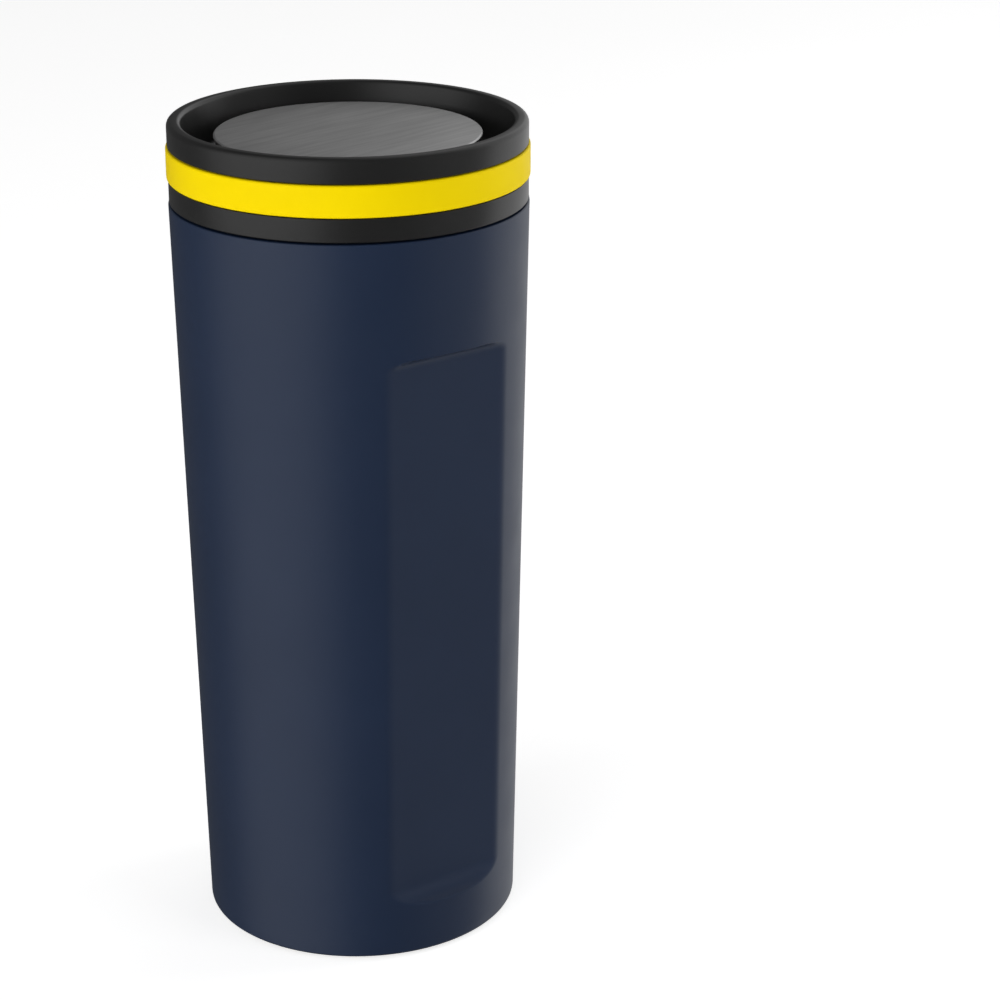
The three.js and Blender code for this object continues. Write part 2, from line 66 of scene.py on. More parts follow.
def low_of(node):
    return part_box(node)[0].z


def high_of(node):
    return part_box(node)[1].z


SEAM = high_of("outer_shell")
SHELL_BOTTOM = low_of("outer_shell")
SHELL_MOUTH = radius_of("outer_shell")
SHELL_BASE = radius_of("foot_ring") + 3.2 * MM
SHELL_WALL = 2.2 * MM
SNUG_GAP = 0.2 * MM  # usual gap between pieces that sit in each other
RIM = high_of("lid_body")
LID_RADIUS = radius_of("lid_band") - 0.4 * MM
PLUG_BOTTOM = low_of("lid_body")


# ---- Turning ----
SAME_POINT = 0.001 * MM


def rounded(outline, steps=5):
    """Points of an outline with each corner rounded to its own radius."""
    points = []
    count = len(outline)
    for i, (r, z, radius) in enumerate(outline):
        here = Vector((r, z))
        if radius == 0:
            points.append(here)
            continue
        before = Vector(outline[i - 1][:2]) - here
        after = Vector(outline[(i + 1) % count][:2]) - here
        half = before.angle(after) / 2
        reach = radius / math.tan(half)
        middle = here + (before.normalized() + after.normalized()).normalized() * (
            radius / math.sin(half)
        )
        start = here + before.normalized() * reach - middle
        sweep = start.angle_signed(here + after.normalized() * reach - middle)
        for k in range(steps + 1):
            turn = Matrix.Rotation(-sweep * k / steps, 2)
            points.append(middle + turn @ start)
    return points


def ring_outline(inner, outer, low, high, edge):
    """Section of a flat ring, with all four corners rounded alike."""
    return [(inner, low, edge), (outer, low, edge), (outer, high, edge), (inner, high, edge)]


def circle_outline(middle, height, radius, sides):
    """Round section at a distance from the axis."""
    outline = []
    for i in range(sides):
        angle = math.tau * i / sides
        outline.append((middle + radius * math.cos(angle), height + radius * math.sin(angle), 0))
    return outline


def spun(mesh, points, steps, closed=True):
    """Turns an outline once round Z. One that starts and ends on the axis isn't closed."""
    verts = [mesh.verts.new((p.x, 0, p.y)) for p in points]
    edges = [mesh.edges.new(pair) for pair in zip(verts, verts[1:])]
    if closed:
        edges.append(mesh.edges.new((verts[-1], verts[0])))
    bmesh.ops.spin(
        mesh,
        geom=verts + edges,
        cent=(0, 0, 0),
        axis=UP,
        angle=math.tau,
        steps=steps,
        use_merge=True,
        use_normal_flip=False,
    )
    bmesh.ops.remove_doubles(mesh, verts=mesh.verts, dist=SAME_POINT)


def coiled(mesh, points, start, sweep, lead, steps):
    """Winds a closed section round Z while it climbs, and caps its ends."""
    verts = [mesh.verts.new((p.x, 0, p.y)) for p in points]
    face = mesh.faces.new(verts)
    turn = Matrix.Rotation(start, 4, "Z")
    bmesh.ops.transform(mesh, matrix=turn, verts=verts)
    bmesh.ops.spin(
        mesh,
        geom=verts + list(face.edges) + [face],
        cent=(0, 0, 0),
        axis=UP,
        dvec=UP * (lead * sweep / math.tau / steps),
        angle=sweep,
        steps=steps,
        use_merge=False,
        use_normal_flip=False,
        use_duplicate=False,
    )


def joined(mesh, tool, operation):
    """Joins two closed meshes into one, or cuts the first with the second."""
    pair = []
    for part in (mesh, tool):
        bmesh.ops.recalc_face_normals(part, faces=part.faces)
        data = bpy.data.meshes.new("work")
        part.to_mesh(data)
        part.free()
        pair.append(bpy.data.objects.new("work", data))
        scene.collection.objects.link(pair[-1])
    modifier = pair[0].modifiers.new("work", "BOOLEAN")
    modifier.operation = operation
    modifier.solver = "EXACT"
    modifier.object = pair[1]
    whole = pair[0].evaluated_get(bpy.context.evaluated_depsgraph_get())
    result = bmesh.new()
    result.from_mesh(whole.to_mesh())
    for part in pair:
        bpy.data.meshes.remove(part.data)
    return result


def finished(name, mesh, material, body, node, crease=35):
    """Makes the object, shades it smooth up to an angle, and fixes it to its body.

    It stands for one CAD node, which it hides, and takes the material it is given.
    """
    bmesh.ops.recalc_face_normals(mesh, faces=mesh.faces)
    for face in mesh.faces:
        face.smooth = True
    for edge in mesh.edges:
        if len(edge.link_faces) == 2 and edge.calc_face_angle() > math.radians(crease):
            edge.smooth = False
    data = bpy.data.meshes.new(name)
    mesh.to_mesh(data)
    mesh.free()
    made = bpy.data.objects.new(name, data)
    scene.collection.objects.link(made)
    data.materials.append(material)
    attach(made, body)
    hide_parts(node)
    return made


def turned(name, outline, material, body, node, steps=160, corner_steps=5):
    """Makes a whole piece from one outline."""
    on_axis = outline[0][0] == 0
    mesh = bmesh.new()
    spun(mesh, rounded(outline, corner_steps), steps, closed=not on_axis)
    finished(name, mesh, material, body, node)


# ---- Materials ----
class Paint:
    """A material under construction, with short ways to add texture nodes.

    Its plain colour and roughness are what shows where the patterns can't be read.
    """

    def __init__(self, name, color, roughness, metallic=0.0):
        self.material = bpy.data.materials.new(name)
        self.material.use_nodes = True
        self.nodes = self.material.node_tree.nodes
        self.links = self.material.node_tree.links
        self.shader = self.nodes["Principled BSDF"]
        self.shader.inputs["Base Color"].default_value = (*color, 1)
        self.shader.inputs["Roughness"].default_value = roughness
        self.shader.inputs["Metallic"].default_value = metallic
        self.place = self.nodes.new("ShaderNodeTexCoord").outputs["Object"]

    def mapped(self, scale):
        """A pattern space that is finer along the axes with a larger scale."""
        node = self.nodes.new("ShaderNodeMapping")
        node.inputs["Scale"].default_value = scale
        self.links.new(self.place, node.inputs["Vector"])
        return node.outputs["Vector"]

    def brushed(self, turn, stretch):
        """A pattern space whose marks run at an angle from X and are stretched along it."""
        node = self.nodes.new("ShaderNodeMapping")
        node.vector_type = "TEXTURE"
        node.inputs["Rotation"].default_value = (0, 0, turn)
        node.inputs["Scale"].default_value = (stretch, 1, 1)
        self.links.new(self.place, node.inputs["Vector"])
        return node.outputs["Vector"]

    def noise(self, scale, detail=3.0, vector=None):
        node = self.nodes.new("ShaderNodeTexNoise")
        node.inputs["Scale"].default_value = scale
        node.inputs["Detail"].default_value = detail
        self.links.new(vector or self.place, node.inputs["Vector"])
        return node.outputs["Fac"]

    def ranged(self, value, low, high, start=0.3, end=0.7):
        """Spreads values between start and end, where most of a noise lies, over low to high."""
        node = self.nodes.new("ShaderNodeMapRange")
        self.links.new(value, node.inputs["Value"])
        node.inputs["From Min"].default_value = start
        node.inputs["From Max"].default_value = end
        node.inputs["To Min"].default_value = low
        node.inputs["To Max"].default_value = high
        return node.outputs["Result"]

    def rough(self, value, low, high):
        self.links.new(self.ranged(value, low, high), self.shader.inputs["Roughness"])

    def tint(self, value, dark, light, start=0.3, end=0.7):
        node = self.nodes.new("ShaderNodeValToRGB")
        node.color_ramp.elements[0].position = start
        node.color_ramp.elements[1].position = end
        node.color_ramp.elements[0].color = (*dark, 1)
        node.color_ramp.elements[1].color = (*light, 1)
        self.links.new(value, node.inputs["Fac"])
        self.links.new(node.outputs["Color"], self.shader.inputs["Base Color"])

    def bumps(self, *heights):
        """Chains bumps, each a (value, strength, depth in metres) row."""
        last = None
        for value, strength, depth in heights:
            node = self.nodes.new("ShaderNodeBump")
            node.inputs["Strength"].default_value = strength
            node.inputs["Distance"].default_value = depth
            self.links.new(value, node.inputs["Height"])
            if last:
                self.links.new(last, node.inputs["Normal"])
            last = node.outputs["Normal"]
        self.links.new(last, self.shader.inputs["Normal"])

    def set(self, **values):
        for key, value in values.items():
            self.shader.inputs[key.replace("_", " ")].default_value = value


def soft_touch_navy():
    paint = Paint("soft_touch_navy", (0.0078, 0.0172, 0.0435), 0.38)
    paint.tint(paint.noise(28, 4), (0.0073, 0.0163, 0.0415), (0.0083, 0.0181, 0.0455))
    paint.rough(paint.noise(90, 5), 0.36, 0.41)
    grain = paint.noise(2600, 2)
    swell = paint.noise(140, 3)
    paint.bumps((swell, 0.08, 0.0002), (grain, 0.16, 0.00005))
    paint.set(Specular_IOR_Level=0.6)
    return paint.material


def moulded_yellow():
    paint = Paint("moulded_yellow", (0.8, 0.6, 0.0), 0.42)
    paint.tint(paint.noise(40, 4), (0.785, 0.585, 0.0), (0.815, 0.615, 0.0))
    paint.rough(paint.noise(120, 4), 0.38, 0.47)
    paint.bumps((paint.noise(1900, 2), 0.14, 0.00006))
    paint.set(Specular_IOR_Level=0.05)
    return paint.material


def moulded_black():
    paint = Paint("moulded_black", (0.009, 0.009, 0.009), 0.3)
    paint.tint(paint.noise(60, 4), (0.0083, 0.0083, 0.0083), (0.0098, 0.0098, 0.0098))
    paint.rough(paint.noise(150, 4), 0.28, 0.33)
    paint.bumps((paint.noise(2200, 2), 0.2, 0.00006))
    paint.set(Specular_IOR_Level=0.7)
    return paint.material


def moulded_grey():
    paint = Paint("moulded_grey", (0.07, 0.073, 0.08), 0.45)
    paint.tint(paint.noise(70, 4), (0.064, 0.067, 0.074), (0.076, 0.079, 0.086))
    paint.rough(paint.noise(150, 4), 0.4, 0.52)
    paint.bumps((paint.noise(2000, 2), 0.15, 0.00005))
    return paint.material


def seal_rubber():
    paint = Paint("seal_rubber", (0.012, 0.012, 0.012), 0.6)
    paint.tint(paint.noise(80, 4), (0.01, 0.01, 0.01), (0.016, 0.016, 0.016))
    paint.rough(paint.noise(200, 4), 0.54, 0.68)
    paint.bumps((paint.noise(1500, 3), 0.2, 0.00005))
    return paint.material


def milky_silicone():
    paint = Paint("milky_silicone", (0.68, 0.68, 0.64), 0.38)
    paint.tint(paint.noise(60, 4), (0.64, 0.64, 0.6), (0.72, 0.72, 0.69))
    paint.rough(paint.noise(160, 4), 0.34, 0.44)
    paint.bumps((paint.noise(900, 3), 0.12, 0.00005))
    paint.set(Transmission_Weight=0.15, IOR=1.41)
    return paint.material


def turned_steel():
    """Satin steel with fine marks that run round the axis."""
    paint = Paint("turned_steel", (0.56, 0.56, 0.57), 0.3, 1.0)
    marks = paint.noise(14, 6, paint.mapped(scale=(1, 1, 260)))
    paint.tint(marks, (0.5, 0.5, 0.51), (0.6, 0.6, 0.61))
    paint.rough(marks, 0.24, 0.36)
    paint.bumps((marks, 0.12, 0.00003))
    return paint.material


def brushed_steel():
    """Steel with straight brush marks across the plate."""
    paint = Paint("brushed_steel", (0.7, 0.7, 0.7), 0.4, 1.0)
    along = math.radians(10)
    marks = paint.noise(760, 5, paint.brushed(along, 13))
    fine = paint.noise(2200, 4, paint.brushed(along + 0.03, 24))
    paint.tint(marks, (0.64, 0.64, 0.64), (0.77, 0.77, 0.77), 0.3, 0.7)
    paint.rough(fine, 0.37, 0.45)
    paint.bumps((marks, 0.16, 0.00003), (fine, 0.2, 0.00001))
    return paint.material


def spring_wire():
    paint = Paint("spring_wire", (0.5, 0.5, 0.5), 0.28, 1.0)
    marks = paint.noise(500, 4)
    paint.tint(marks, (0.45, 0.45, 0.45), (0.55, 0.55, 0.55))
    paint.rough(marks, 0.22, 0.36)
    paint.bumps((marks, 0.08, 0.00003))
    return paint.material


NAVY = soft_touch_navy()
YELLOW = moulded_yellow()
BLACK = moulded_black()
GREY = moulded_grey()
RUBBER = seal_rubber()
SILICONE = milky_silicone()
VESSEL_STEEL = turned_steel()
PLATE_STEEL = brushed_steel()
WIRE = spring_wire()


# ---- Shell ----
GRIP_DEPTH = 3.45 * MM
GRIP_LOW = SHELL_BOTTOM + 12.7 * MM
GRIP_HIGH = SEAM - 27.7 * MM
GRIP_LOW_ROUND = 5 * MM
GRIP_HIGH_ROUND = 3.2 * MM
GRIP_BLEND = 0.55 * MM  # softness of the flat's edges
GRIP_FACING = 0.5  # walls that face the flat's side less than this stay round
STEEPEST = math.radians(80)  # steepest slope at the ends of a flat


def shell_outer(z):
    share = (z - SHELL_BOTTOM) / (SEAM - SHELL_BOTTOM)
    return SHELL_BASE + (SHELL_MOUTH - SHELL_BASE) * share


def shell_inner(z):
    return shell_outer(z) - SHELL_WALL


def rise_from_flat(distance, radius):
    """Height gained at a distance past the point where the flat starts to curve up."""
    if distance <= 0:
        return 0.0
    turn_end = radius * math.sin(STEEPEST)
    if distance <= turn_end:
        return radius - math.sqrt(radius**2 - distance**2)
    return radius * (1 - math.cos(STEEPEST)) + (distance - turn_end) * math.tan(STEEPEST)


def grip_face(z, inset):
    """Distance of a grip flat's face from the axis, at a height."""
    low_round = GRIP_LOW_ROUND + inset
    high_round = GRIP_HIGH_ROUND + inset
    rise = rise_from_flat(GRIP_LOW - inset + low_round - z, low_round)
    rise += rise_from_flat(z - (GRIP_HIGH + inset - high_round), high_round)
    return shell_outer(z) - GRIP_DEPTH - inset + rise


def soft_min(a, b, blend):
    """The smaller of two values, with a rounded change from one to the other."""
    overlap = max(blend - abs(a - b), 0) / blend
    return min(a, b) - overlap**2 * blend / 4


def press_grips(mesh):
    """Presses the two grip flats into both walls of the shell."""
    lowest, highest = GRIP_LOW - 6 * MM, GRIP_HIGH + 1 * MM
    for vert in mesh.verts:
        x, y, z = vert.co
        radius = math.hypot(x, y)
        facing = abs(y) / radius
        if facing < GRIP_FACING or not lowest < z < highest:
            continue
        inner = shell_outer(z) - radius > SHELL_WALL / 2
        inset = SHELL_WALL if inner else 0
        flat = grip_face(z, inset) / facing
        pressed = soft_min(radius, flat, GRIP_BLEND)
        vert.co.x *= pressed / radius
        vert.co.y *= pressed / radius


def heights(low, high, count):
    """Evenly spaced heights, both ends included."""
    return [low + (high - low) * i / count for i in range(count + 1)]


def shell():
    """Tapered shell whose rows lie close together where the ends of the grip flats curve."""
    ledge = low_of("vessel_seal") - SNUG_GAP
    ledge_radius = radius_of("inner_vessel") - 3.4 * MM
    ledge_edge = ledge - 2 * MM
    ledge_root = ledge - 6 * MM
    rim_inside = radius_of("foot_ring") + SNUG_GAP
    rim_ceiling = SHELL_BOTTOM + 2.2 * MM
    taper_start = 4 * MM
    rows = heights(GRIP_LOW - 1 * MM, GRIP_LOW + 6 * MM, 28)
    rows += heights(GRIP_LOW + 7 * MM, GRIP_HIGH - 4 * MM, 24)
    rows += heights(GRIP_HIGH - 3 * MM, GRIP_HIGH + 1.2 * MM, 34)
    inner_rows = heights(GRIP_HIGH - 1 * MM, GRIP_LOW - 1 * MM, 20)
    outline = [(rim_inside, rim_ceiling, 0), (rim_inside, SHELL_BOTTOM, 0.3 * MM)]
    outline += [(SHELL_BASE, SHELL_BOTTOM, 1.0 * MM), (shell_outer(taper_start), taper_start, 0)]
    outline += [(shell_outer(z), z, 0) for z in rows]
    outline += [(SHELL_MOUTH, SEAM, 0.35 * MM), (SHELL_MOUTH - SHELL_WALL, SEAM, 0.2 * MM)]
    outline += [(shell_inner(ledge), ledge, 0), (ledge_radius, ledge, 0)]
    outline += [(ledge_radius, ledge_edge, 0), (shell_inner(ledge_root), ledge_root, 0)]
    outline += [(shell_inner(z), z, 0) for z in inner_rows if z < ledge_root - 1 * MM]
    outline += [(shell_inner(rim_ceiling), rim_ceiling, 0)]
    mesh = bmesh.new()
    spun(mesh, rounded(outline), 480)
    press_grips(mesh)
    finished("shell", mesh, NAVY, "tumbler_body", "outer_shell")


# ---- Base ----
def foot():
    """Resting ring, with a narrower throat that holds the disc's edge."""
    outer = radius_of("foot_ring")
    hole = 25.5 * MM
    throat = hole - 1.3 * MM
    throat_low = 1.9 * MM
    top = high_of("foot_ring")
    turned(
        "foot",
        [
            (hole, 0, 0.5 * MM),
            (outer, 0, 0.5 * MM),
            (outer, top, 0.2 * MM),
            (throat, top, 0.2 * MM),
            (throat, throat_low, 0.3 * MM),
        ],
        YELLOW,
        "tumbler_body",
        "foot_ring",
        steps=220,
    )


def base_medallion():
    """Plain crowned disc with a chamfered edge."""
    edge = radius_of("base_disc")
    low, high = low_of("base_disc"), high_of("base_disc")
    crown = 0.8 * MM
    chamfer = 0.3 * MM
    steps = 14
    outline = []
    for i in range(steps + 1):
        share = i / steps
        outline.append(((edge - chamfer) * share, low + crown * share**2, 0))
    outline += [(edge, low + crown + chamfer, 0), (edge, high, 0.2 * MM), (0, high, 0)]
    turned(
        "base_medallion",
        outline,
        YELLOW,
        "tumbler_body",
        "base_disc",
        steps=200,
    )


# ---- Vessel and neck ----
def vessel():
    """Thin steel vessel whose flange sits on the shell's ledge."""
    low, high = low_of("inner_vessel"), high_of("inner_vessel")
    wall = 0.8 * MM
    flange = radius_of("inner_vessel")
    mouth = flange - 5.2 * MM
    base = SHELL_BASE - 6.9 * MM
    bend = 7 * MM
    turned(
        "vessel",
        [
            (0, low, 0),
            (base, low, bend),
            (mouth, high - wall, 0.4 * MM),
            (flange, high - wall, 0.3 * MM),
            (flange, high, 0.3 * MM),
            (mouth - wall, high, 1.0 * MM),
            (base - wall, low + wall, bend - wall),
            (0, low + wall, 0),
        ],
        VESSEL_STEEL,
        "tumbler_body",
        "inner_vessel",
        steps=200,
        corner_steps=8,
    )


THREAD_STARTS = 3
THREAD_LEAD = 18 * MM
THREAD_DEPTH = 1.4 * MM
THREAD_HEIGHT = 1.8 * MM
RUN_GAP = 0.35 * MM  # usual gap between pieces that move past each other
THREAD_RISE = 3.2 * MM  # lowest ridge above the lid's lower end
LID_THREAD_SWEEP = 125  # degrees that each ridge runs round
COLLAR_THREAD_SWEEP = 160
COLLAR_BORE = radius_of("neck_collar") - 2.7 * MM
PLUG_RADIUS = COLLAR_BORE - THREAD_DEPTH - RUN_GAP


def thread(root, crest, start_height, sweep):
    """Rounded ridges of all starts, rooted a little way into their wall."""
    flank = 0.4 * MM
    sink = flank * (1 if root > crest else -1)
    section = [
        (root + sink, 0, 0),
        (crest, flank, 0.25 * MM),
        (crest, THREAD_HEIGHT - flank, 0.25 * MM),
        (root + sink, THREAD_HEIGHT, 0),
    ]
    points = [p + Vector((0, start_height)) for p in rounded(section, 3)]
    ridges = bmesh.new()
    for i in range(THREAD_STARTS):
        start = math.tau * i / THREAD_STARTS
        coiled(ridges, points, start, math.radians(sweep), THREAD_LEAD, 56)
    return ridges


def collar():
    """Collar with the female thread in the shell's mouth."""
    outer = radius_of("neck_collar")
    low, high = low_of("neck_collar"), high_of("neck_collar")
    outline = [
        (COLLAR_BORE, low, 0.2 * MM),
        (outer, low, 0.2 * MM),
        (outer, high, 0.3 * MM),
        (COLLAR_BORE, high, 0.8 * MM),
    ]
    wall = bmesh.new()
    spun(wall, rounded(outline), 200)
    base = PLUG_BOTTOM + THREAD_RISE + THREAD_HEIGHT + RUN_GAP
    ridges = thread(COLLAR_BORE, COLLAR_BORE - THREAD_DEPTH, base, COLLAR_THREAD_SWEEP)
    whole = joined(wall, ridges, "UNION")
    finished("collar", whole, BLACK, "tumbler_body", "neck_collar")


# ---- Lid ----
RIM_WIDTH = 3.2 * MM
PLUG_BORE = PLUG_RADIUS - 3 * MM
VALVE_BORE = PLUG_BORE - 2.5 * MM
CARRIER_NECK = VALVE_BORE - 2 * MM
SEAT_FLARE = 0.85  # how much wider the seat gets for each unit of height
LID_UNDER = SEAM + RUN_GAP


def lid():
    """Rim, trough, valve seat and plug in one moulding, cored out under the rim."""
    band_low = low_of("lid_band") - SNUG_GAP
    band_high = high_of("lid_band") + SNUG_GAP
    groove = radius_of("lid_band") - 1.5 * MM
    trough = LID_RADIUS - RIM_WIDTH - 1.7 * MM
    cage_top = high_of("guide_cage")
    valve_low = cage_top - 1.03 * MM
    valve_high = valve_low + 3.8 * MM
    seat_high = valve_high + (trough - VALVE_BORE) / SEAT_FLARE
    core_top = band_low - 0.6 * MM
    core_inner = COLLAR_BORE - RUN_GAP + 0.6 * MM
    core_outer = LID_RADIUS - 2.2 * MM
    outline = [
        (PLUG_BORE, PLUG_BOTTOM, 0.3 * MM),
        (PLUG_RADIUS, PLUG_BOTTOM, 0.5 * MM),
        (PLUG_RADIUS, LID_UNDER, 0.2 * MM),
        (core_inner, LID_UNDER, 0.2 * MM),
        (core_inner, core_top, 0.6 * MM),
        (core_outer, core_top, 0.6 * MM),
        (core_outer, LID_UNDER, 0.2 * MM),
        (LID_RADIUS, LID_UNDER, 0.45 * MM),
        (LID_RADIUS, band_low, 0.2 * MM),
        (groove, band_low, 0.1 * MM),
        (groove, band_high, 0.1 * MM),
        (LID_RADIUS, band_high, 0.3 * MM),
        (LID_RADIUS, RIM, 1.2 * MM),
        (LID_RADIUS - RIM_WIDTH, RIM, 1.1 * MM),
        (trough, seat_high, 3.0 * MM),
        (VALVE_BORE, valve_high, 1.0 * MM),
        (VALVE_BORE, valve_low, 0.3 * MM),
        (PLUG_BORE, valve_low, 0.3 * MM),
    ]
    wall = bmesh.new()
    spun(wall, rounded(outline, 7), 240)
    base = PLUG_BOTTOM + THREAD_RISE
    ridges = thread(PLUG_RADIUS, COLLAR_BORE - RUN_GAP, base, LID_THREAD_SWEEP)
    whole = joined(wall, ridges, "UNION")
    finished("lid", whole, BLACK, "lid", "lid_body")


def grip_band():
    """Rubber band in the lid's groove."""
    outer = radius_of("lid_band")
    inner = outer - 1.3 * MM
    low, high = low_of("lid_band"), high_of("lid_band")
    turned(
        "grip_band",
        [
            (inner, low, 0.1 * MM),
            (outer, low, 0.5 * MM),
            (outer, high, 0.5 * MM),
            (inner, high, 0.1 * MM),
        ],
        YELLOW,
        "lid",
        "lid_band",
        steps=240,
    )


def gasket():
    """Silicone ring with a fine groove round it."""
    outer = radius_of("lid_gasket")
    inner = PLUG_BORE - 0.5 * MM
    low, high = low_of("lid_gasket"), high_of("lid_gasket")
    groove = 0.35 * MM
    middle = (low + high) / 2
    turned(
        "gasket",
        [
            (inner, low, 0.3 * MM),
            (outer, low, 0.4 * MM),
            (outer, middle - groove, 0.1 * MM),
            (outer - groove, middle, 0.1 * MM),
            (outer, middle + groove, 0.1 * MM),
            (outer, high, 0.3 * MM),
            (inner, high, 0.3 * MM),
        ],
        SILICONE,
        "lid_lift",
        "lid_gasket",
        steps=200,
    )


# ---- Button ----
def plate():
    """Thin flat steel disc with a chamfer."""
    edge = radius_of("button_plate")
    low, high = low_of("button_plate"), high_of("button_plate")
    chamfer_width, chamfer_depth = 0.35 * MM, 0.28 * MM
    mesh = bmesh.new()
    outline = [
        (0, low, 0),
        (edge, low, 0.1 * MM),
        (edge, high - chamfer_depth, 0.06 * MM),
        (edge - chamfer_width, high, 0.05 * MM),
        (edge * 0.5, high, 0),
        (0, high, 0),
    ]
    spun(mesh, rounded(outline, 3), 240, closed=False)
    finished("plate", mesh, PLATE_STEEL, "button", "button_plate")


def carrier():
    """Moulding under the plate, with a boss for the screw and a groove for the lip seal."""
    top = high_of("button_carrier")
    bottom = low_of("button_carrier")
    rim = radius_of("button_carrier")
    seal_gap = 0.1 * MM
    groove_high = high_of("valve_seal") + seal_gap
    groove_low = low_of("valve_seal") - seal_gap
    groove = CARRIER_NECK - 2.5 * MM
    flange_low = groove_low - 1.4 * MM
    boss, boss_root = 5.6 * MM, 6.0 * MM
    hole = 3.2 * MM
    turned(
        "carrier",
        [
            (hole, bottom, 0.2 * MM),
            (boss, bottom, 0.4 * MM),
            (boss_root, flange_low, 0.3 * MM),
            (CARRIER_NECK, flange_low, 0.8 * MM),
            (CARRIER_NECK, groove_low, 0.2 * MM),
            (groove, groove_low, 0.1 * MM),
            (groove, groove_high, 0.1 * MM),
            (CARRIER_NECK, groove_high, 0.2 * MM),
            (rim, top - 2.4 * MM, 0.8 * MM),
            (rim, top, 0.3 * MM),
            (hole, top, 0.1 * MM),
        ],
        BLACK,
        "button",
        "button_carrier",
        steps=200,
    )


def lip_seal():
    """Rubber lip that closes the ring-shaped valve."""
    outer = radius_of("valve_seal")
    inner = CARRIER_NECK - 2.3 * MM
    low, high = low_of("valve_seal"), high_of("valve_seal")
    lip_low, lip_high = low + 0.8 * MM, low + 1.4 * MM
    turned(
        "lip_seal",
        [
            (inner, low, 0.1 * MM),
            (CARRIER_NECK + 0.4 * MM, low, 0.3 * MM),
            (outer, lip_low, 0.1 * MM),
            (outer, lip_high, 0.2 * MM),
            (CARRIER_NECK + 1.0 * MM, high, 0.4 * MM),
            (inner, high, 0.1 * MM),
        ],
        RUBBER,
        "button",
        "valve_seal",
        steps=200,
    )


# ---- Rings and seals ----
def seal_ring(name, node, body):
    """Rubber ring of round cross section, as large as its node."""
    section = (high_of(node) - low_of(node)) / 2
    middle = radius_of(node) - section
    outline = circle_outline(middle, low_of(node) + section, section, 20)
    turned(name, outline, RUBBER, body, node)


def flat_ring(name, node, inner, edge, material, body):
    outline = ring_outline(inner, radius_of(node), low_of(node), high_of(node), edge)
    turned(name, outline, material, body, node)


SHAFT_RADIUS = 3 * MM
SHAFT_BORE = SHAFT_RADIUS + RUN_GAP


def small_rings():
    seal_ring("base_o_ring", "base_seal", "tumbler_body")
    seal_ring("shaft_o_ring", "shaft_seal", "lid")
    pad_bore = 0.5 * MM
    flat_ring("pad", "vessel_pad", pad_bore, 0.4 * MM, RUBBER, "tumbler_body")
    seal_bore = radius_of("vessel_seal") - 2.2 * MM
    flat_ring(
        "mouth_seal",
        "vessel_seal",
        seal_bore,
        0.35 * MM,
        SILICONE,
        "tumbler_body",
    )
    flat_ring("bumper", "bumper_ring", SHAFT_BORE, 0.25 * MM, RUBBER, "lid")
    flat_ring("washer", "thrust_washer", SHAFT_BORE, 0.15 * MM, WIRE, "button")


def base_closure():
    """Plate that closes the shell's lower end, with an upstand that carries its ring."""
    low, high = low_of("base_plate"), high_of("base_plate")
    lip_radius = radius_of("foot_ring")
    outer = radius_of("base_seal") - 1.7 * MM
    lip = low + 0.8 * MM
    floor_top = low + 2 * MM
    inner = outer - 3 * MM
    turned(
        "base_closure",
        [
            (0, low, 0),
            (lip_radius, low, 0.2 * MM),
            (lip_radius, lip, 0.1 * MM),
            (outer, lip, 0.2 * MM),
            (outer, high, 0.4 * MM),
            (inner, high, 0.4 * MM),
            (inner, floor_top, 0.6 * MM),
            (0, floor_top, 0),
        ],
        BLACK,
        "tumbler_body",
        "base_plate",
    )


# ---- Mechanism ----
BARREL = 10.5 * MM  # outer radius
BARREL_BORE = BARREL - 2 * MM
PEG = 1.3 * MM  # radius
CAM_TURN = 40.0  # degrees over the whole travel
TRAVEL = 5 * MM
SPOKES = 3
SLOT_START = 180 / SPOKES - CAM_TURN / 2  # puts each slot midway between two spokes


def peg(mesh, angle, height, start, end):
    """Round peg that points out from the axis at an angle in degrees."""
    made = bmesh.ops.create_cone(
        mesh, cap_ends=True, segments=32, radius1=PEG, radius2=PEG, depth=end - start
    )
    move = Matrix.Rotation(math.radians(angle), 4, "Z") @ Matrix.Translation(
        ((start + end) / 2, 0, height)
    )
    lie = Matrix.Rotation(math.tau / 4, 4, "Y")
    bmesh.ops.transform(mesh, matrix=move @ lie, verts=made["verts"])


def cam():
    """Ring with three pegs that run in the barrel's slanted slots."""
    low, high = low_of("cam_ring"), high_of("cam_ring")
    outer = BARREL_BORE - RUN_GAP
    ring = bmesh.new()
    spun(ring, rounded(ring_outline(SHAFT_BORE, outer, low, high, 0.3 * MM)), 96)
    pegs = bmesh.new()
    for i in range(SPOKES):
        angle = SLOT_START + CAM_TURN + 360 * i / SPOKES
        peg(pegs, angle, (low + high) / 2, outer - 2 * MM, BARREL - SNUG_GAP)
    whole = joined(ring, pegs, "UNION")
    finished("cam", whole, GREY, "cam", "cam_ring")


def slots(height):
    """Slanted cutters, each as wide as a peg with its running gap, for pegs at a height at rest."""
    cutters = bmesh.new()
    middle = (BARREL + BARREL_BORE) / 2
    climb = math.atan2(TRAVEL, math.radians(CAM_TURN) * middle)
    half = (PEG + RUN_GAP) / math.cos(climb)
    extra = math.degrees((PEG + RUN_GAP) / middle)  # room past the peg at both ends
    lead = TRAVEL * 360 / CAM_TURN
    low = height - TRAVEL - lead * extra / 360
    reach = 1 * MM
    section = [
        Vector((BARREL_BORE - reach, low - half)),
        Vector((BARREL + reach, low - half)),
        Vector((BARREL + reach, low + half)),
        Vector((BARREL_BORE - reach, low + half)),
    ]
    for i in range(SPOKES):
        start = math.radians(SLOT_START - extra + 360 * i / SPOKES)
        coiled(cutters, section, start, math.radians(CAM_TURN + 2 * extra), lead, 24)
    return cutters


